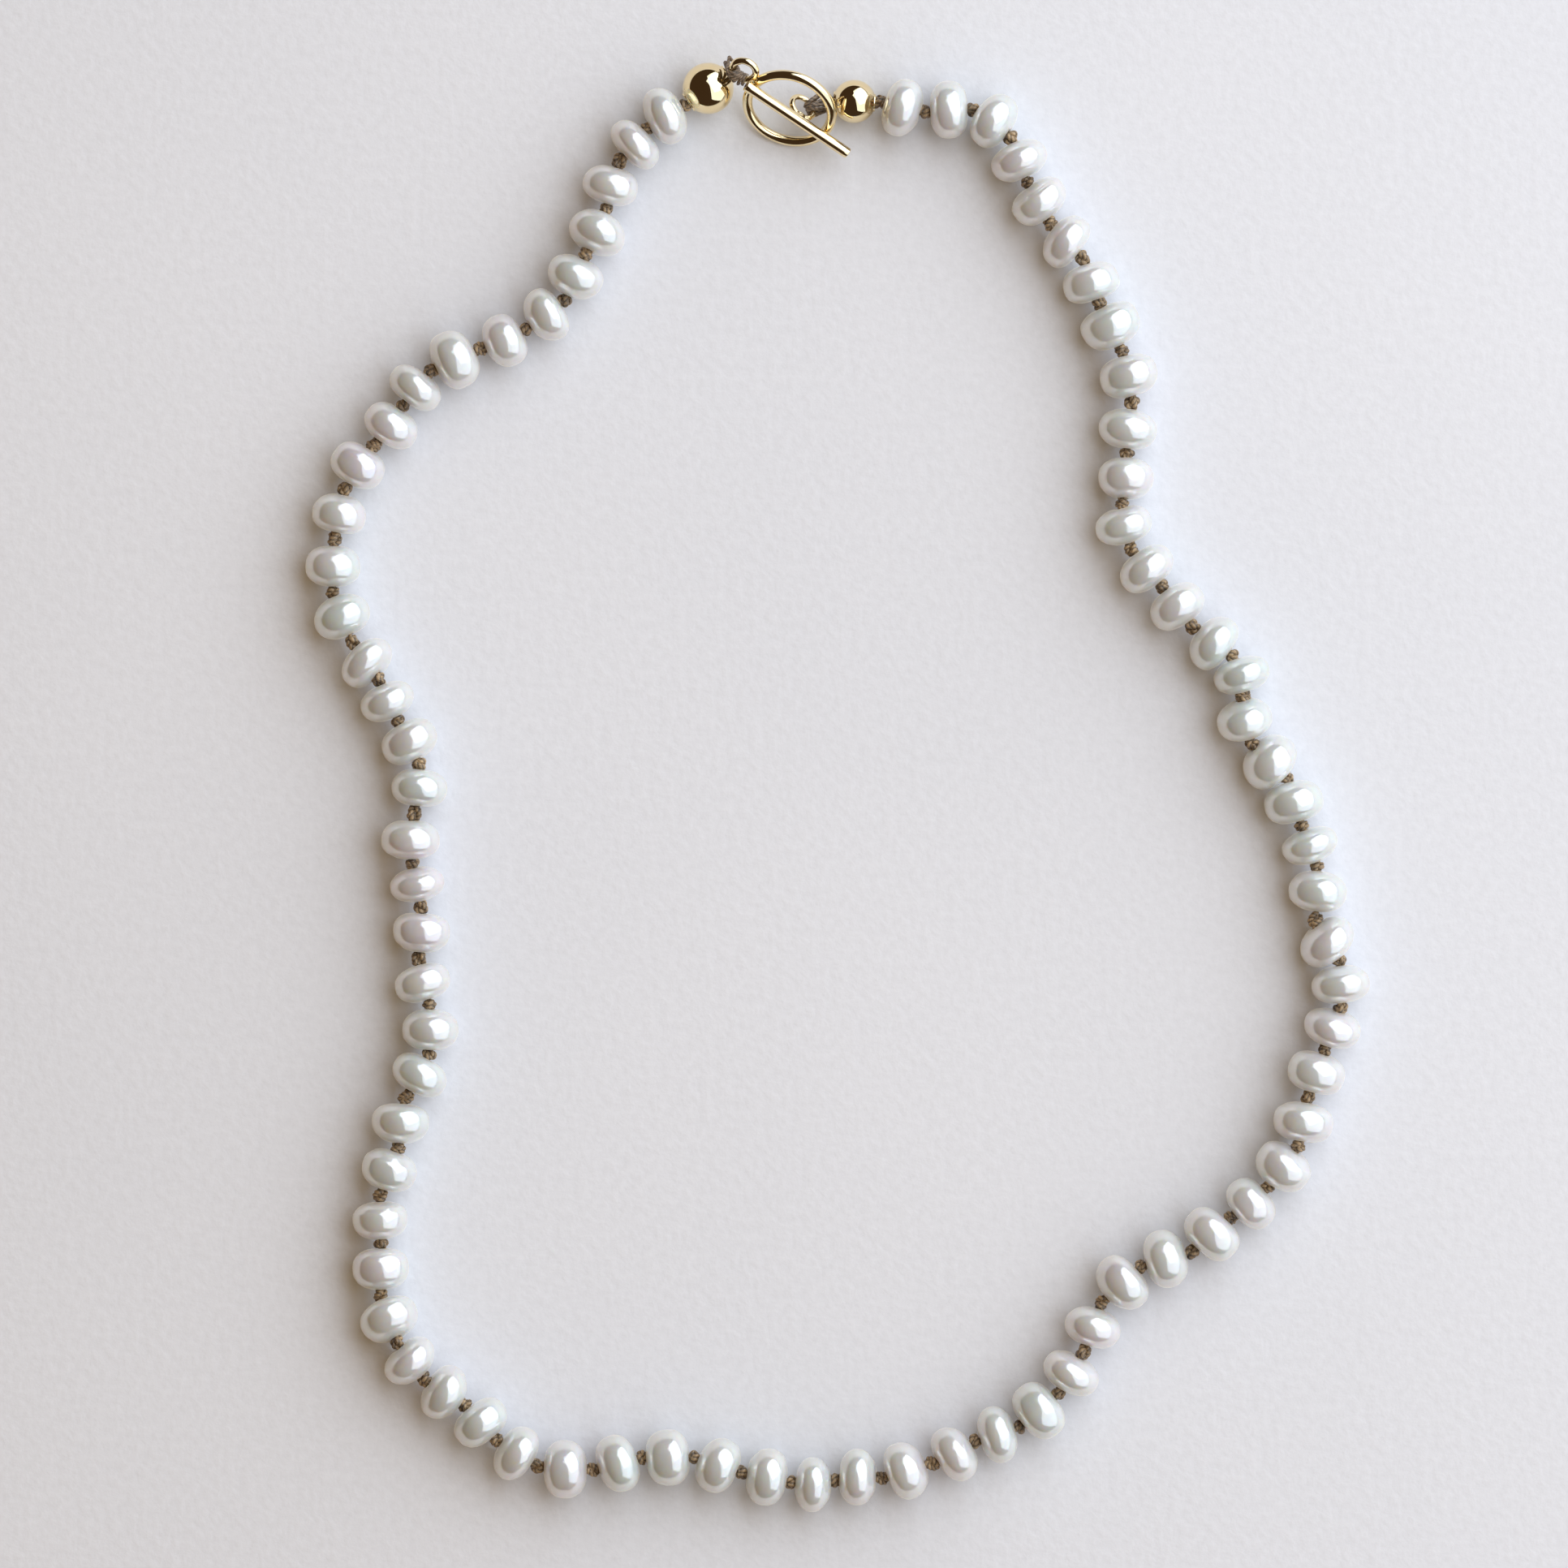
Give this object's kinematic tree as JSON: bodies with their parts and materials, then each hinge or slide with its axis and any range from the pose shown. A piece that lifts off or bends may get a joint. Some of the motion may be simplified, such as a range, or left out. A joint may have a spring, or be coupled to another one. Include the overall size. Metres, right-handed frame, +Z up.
{
  "type": "pearl necklace",
  "caption": "Necklace of slightly flattened white pearls, knotted on taupe silk, laid flat in a closed loop with gold end beads and a gold toggle clasp.",
  "frame": {"origin": "on the surface it lies on, under the middle of its outline", "axes": "+Z up from the surface, +Y from the bottom of the loop towards the clasp, +X to the right of someone looking down with the clasp away from them"},
  "size_m": [0.1238, 0.169, 0.0083],
  "materials": {
    "pearl": "lustrous white nacre with a cream and faintly pink and green overtone",
    "silk": "twisted taupe silk, knotted and wrapped",
    "gold": "mirror-polished yellow gold"
  },
  "bodies": {
    "strand_00": {"strand_00": "pearl", "knot_L01": "silk", "knot_R01": "silk"},
    "strand_L01": {"strand_L01": "pearl", "knot_L02": "silk"},
    "strand_R01": {"strand_R01": "pearl", "knot_R02": "silk"},
    "strand_L02": {"strand_L02": "pearl", "knot_L03": "silk"},
    "strand_R02": {"strand_R02": "pearl", "knot_R03": "silk"},
    "strand_L03": {"strand_L03": "pearl", "knot_L04": "silk"},
    "strand_R03": {"strand_R03": "pearl", "knot_R04": "silk"},
    "strand_L04": {"strand_L04": "pearl", "knot_L05": "silk"},
    "strand_R04": {"strand_R04": "pearl", "knot_R05": "silk"},
    "strand_L05": {"strand_L05": "pearl", "knot_L06": "silk"},
    "strand_R05": {"strand_R05": "pearl", "knot_R06": "silk"},
    "strand_L06": {"strand_L06": "pearl", "knot_L07": "silk"},
    "strand_R06": {"strand_R06": "pearl", "knot_R07": "silk"},
    "strand_L07": {"strand_L07": "pearl", "knot_L08": "silk"},
    "strand_R07": {"strand_R07": "pearl", "knot_R08": "silk"},
    "strand_L08": {"strand_L08": "pearl", "knot_L09": "silk"},
    "strand_R08": {"strand_R08": "pearl", "knot_R09": "silk"},
    "strand_L09": {"strand_L09": "pearl", "knot_L10": "silk"},
    "strand_R09": {"strand_R09": "pearl", "knot_R10": "silk"},
    "strand_L10": {"strand_L10": "pearl", "knot_L11": "silk"},
    "strand_R10": {"strand_R10": "pearl", "knot_R11": "silk"},
    "strand_L11": {"strand_L11": "pearl", "knot_L12": "silk"},
    "strand_R11": {"strand_R11": "pearl", "knot_R12": "silk"},
    "strand_L12": {"strand_L12": "pearl", "end_knot_left": "silk", "silk_tail_left": "silk", "silk_loop_left": "silk"},
    "strand_R12": {"strand_R12": "pearl", "end_knot_right": "silk", "silk_tail_right": "silk"},
    "gold_bead_left": {"gold_bead_left": "gold"},
    "gold_bead_right": {"gold_bead_right": "gold"},
    "silk_loop_right": {"silk_loop_right": "silk"},
    "toggle_ring": {"toggle_ring": "gold"},
    "toggle_bar": {"toggle_bar": "gold"}
  },
  "joints": [
    {"name": "fold_01", "type": "hinge", "parent": "strand_00", "child": "strand_L01", "pos_m": [-0.01667, -0.07807, 0.00341], "axis": [0.994, -0.1089, -0.004], "range_deg": [0, 8]},
    {"name": "fold_01_right", "type": "hinge", "parent": "strand_00", "child": "strand_R01", "pos_m": [0.00513, -0.08046, 0.00333], "axis": [0.994, -0.1089, -0.004], "range_deg": [0, 8]},
    {"name": "fold_02", "type": "hinge", "parent": "strand_L01", "child": "strand_L02", "pos_m": [-0.03482, -0.07908, 0.00327], "axis": [0.9968, 0.0805, 0.002], "range_deg": [0, 8]},
    {"name": "fold_02_right", "type": "hinge", "parent": "strand_R01", "child": "strand_R02", "pos_m": [0.02105, -0.07457, 0.00338], "axis": [0.9968, 0.0805, 0.002], "range_deg": [0, 8]},
    {"name": "fold_03", "type": "hinge", "parent": "strand_L02", "child": "strand_L03", "pos_m": [-0.04786, -0.06899, 0.00356], "axis": [0.9937, 0.112, -0.0027], "range_deg": [0, 20]},
    {"name": "fold_03_right", "type": "hinge", "parent": "strand_R02", "child": "strand_R03", "pos_m": [0.03067, -0.06014, 0.00335], "axis": [0.9937, 0.112, -0.0027], "range_deg": [0, 20]},
    {"name": "arm_sway", "type": "hinge", "parent": "strand_L03", "child": "strand_L04", "pos_m": [-0.05308, -0.04771, 0.00324], "axis": [0, 0, 1], "range_deg": [-12, 0]},
    {"name": "sway_R04", "type": "hinge", "parent": "strand_R03", "child": "strand_R04", "pos_m": [0.04567, -0.05022, 0.00324], "axis": [0, 0, 1], "range_deg": [-12, 0]},
    {"name": "fold_05", "type": "hinge", "parent": "strand_L04", "child": "strand_L05", "pos_m": [-0.04744, -0.03134, 0.0033], "axis": [1, 0.0059, -0.0003], "range_deg": [0, 20]},
    {"name": "fold_05_right", "type": "hinge", "parent": "strand_R04", "child": "strand_R05", "pos_m": [0.0566, -0.03073, 0.00327], "axis": [1, 0.0059, -0.0003], "range_deg": [0, 20]},
    {"name": "fold_06", "type": "hinge", "parent": "strand_L05", "child": "strand_L06", "pos_m": [-0.04835, -0.01426, 0.00321], "axis": [0.999, 0.0454, 0.0006], "range_deg": [0, 20]},
    {"name": "fold_06_right", "type": "hinge", "parent": "strand_R05", "child": "strand_R06", "pos_m": [0.05564, -0.00953, 0.00327], "axis": [0.999, 0.0454, 0.0006], "range_deg": [0, 20]},
    {"name": "sway_L07", "type": "hinge", "parent": "strand_L06", "child": "strand_L07", "pos_m": [-0.05104, 0.00735, 0.00316], "axis": [0, 0, 1], "range_deg": [0, 12]},
    {"name": "sway_R07", "type": "hinge", "parent": "strand_R06", "child": "strand_R07", "pos_m": [0.04805, 0.00487, 0.00361], "axis": [0, 0, 1], "range_deg": [0, 12]},
    {"name": "fold_08", "type": "hinge", "parent": "strand_L07", "child": "strand_L08", "pos_m": [-0.05864, 0.02232, 0.00321], "axis": [0.9992, -0.0399, 0.0024], "range_deg": [0, 20]},
    {"name": "fold_08_right", "type": "hinge", "parent": "strand_R07", "child": "strand_R08", "pos_m": [0.04121, 0.01833, 0.00345], "axis": [0.9992, -0.0399, 0.0024], "range_deg": [0, 20]},
    {"name": "fold_09", "type": "hinge", "parent": "strand_L08", "child": "strand_L09", "pos_m": [-0.05382, 0.03943, 0.00314], "axis": [0.9969, -0.078, 0.0064], "range_deg": [0, 20]},
    {"name": "fold_09_right", "type": "hinge", "parent": "strand_R08", "child": "strand_R09", "pos_m": [0.03297, 0.03264, 0.0037], "axis": [0.9969, -0.078, 0.0064], "range_deg": [0, 20]},
    {"name": "fold_10", "type": "hinge", "parent": "strand_L09", "child": "strand_L10", "pos_m": [-0.04152, 0.05052, 0.00323], "axis": [1, -0.0019, 0.0021], "range_deg": [0, 20]},
    {"name": "fold_10_right", "type": "hinge", "parent": "strand_R09", "child": "strand_R10", "pos_m": [0.03296, 0.05038, 0.00338], "axis": [1, -0.0019, 0.0021], "range_deg": [0, 20]},
    {"name": "fold_11", "type": "hinge", "parent": "strand_L10", "child": "strand_L11", "pos_m": [-0.02928, 0.06152, 0.00372], "axis": [0.9977, 0.0668, -0.0083], "range_deg": [0, 20]},
    {"name": "fold_11_right", "type": "hinge", "parent": "strand_R10", "child": "strand_R11", "pos_m": [0.02468, 0.06513, 0.00327], "axis": [0.9977, 0.0668, -0.0083], "range_deg": [0, 20]},
    {"name": "fold_12", "type": "hinge", "parent": "strand_L11", "child": "strand_L12", "pos_m": [-0.02532, 0.07236, 0.00326], "axis": [0.9895, 0.1445, -0.0018], "range_deg": [0, 8]},
    {"name": "fold_12_right", "type": "hinge", "parent": "strand_R11", "child": "strand_R12", "pos_m": [0.0157, 0.07835, 0.00318], "axis": [0.9895, 0.1445, -0.0018], "range_deg": [0, 8]},
    {"name": "bead_left_spin", "type": "hinge", "parent": "strand_L12", "child": "gold_bead_left", "pos_m": [-0.01504, 0.08082, 0.00299], "axis": [0.8141, 0.5807, 0], "continuous": true},
    {"name": "bead_right_spin", "type": "hinge", "parent": "strand_R12", "child": "gold_bead_right", "pos_m": [0.00192, 0.07933, 0.00251], "axis": [0.9976, -0.0698, 0], "continuous": true},
    {"name": "clasp_roll", "type": "hinge", "parent": "strand_L12", "child": "toggle_ring", "pos_m": [-0.01225, 0.08276, 0.00623], "axis": [0.9171, -0.2612, -0.3013], "range_deg": [-12, 16]},
    {"name": "clasp_roll_right", "type": "hinge", "parent": "strand_R12", "child": "silk_loop_right", "pos_m": [-0.00093, 0.07953, 0.00251], "axis": [0.9171, -0.2612, -0.3013], "range_deg": [-12, 16]},
    {"name": "bar_swivel", "type": "hinge", "parent": "silk_loop_right", "child": "toggle_bar", "pos_m": [-0.00315, 0.0785, 0.0027], "axis": [-0.2204, -0.6783, 0.7009], "range_deg": [-6, 10]}
  ],
  "couplings": [
    {"joint": "fold_01_right", "follows": "fold_01", "ratio": 1},
    {"joint": "fold_02_right", "follows": "fold_02", "ratio": 1},
    {"joint": "fold_03_right", "follows": "fold_03", "ratio": 1},
    {"joint": "fold_05_right", "follows": "fold_05", "ratio": 1},
    {"joint": "fold_06_right", "follows": "fold_06", "ratio": 1},
    {"joint": "fold_08_right", "follows": "fold_08", "ratio": 1},
    {"joint": "fold_09_right", "follows": "fold_09", "ratio": 1},
    {"joint": "fold_10_right", "follows": "fold_10", "ratio": 1},
    {"joint": "fold_11_right", "follows": "fold_11", "ratio": 1},
    {"joint": "fold_12_right", "follows": "fold_12", "ratio": 1},
    {"joint": "sway_R04", "follows": "arm_sway", "ratio": 1},
    {"joint": "sway_L07", "follows": "arm_sway", "ratio": -1},
    {"joint": "sway_R07", "follows": "arm_sway", "ratio": -1},
    {"joint": "clasp_roll_right", "follows": "clasp_roll", "ratio": 1}
  ]
}
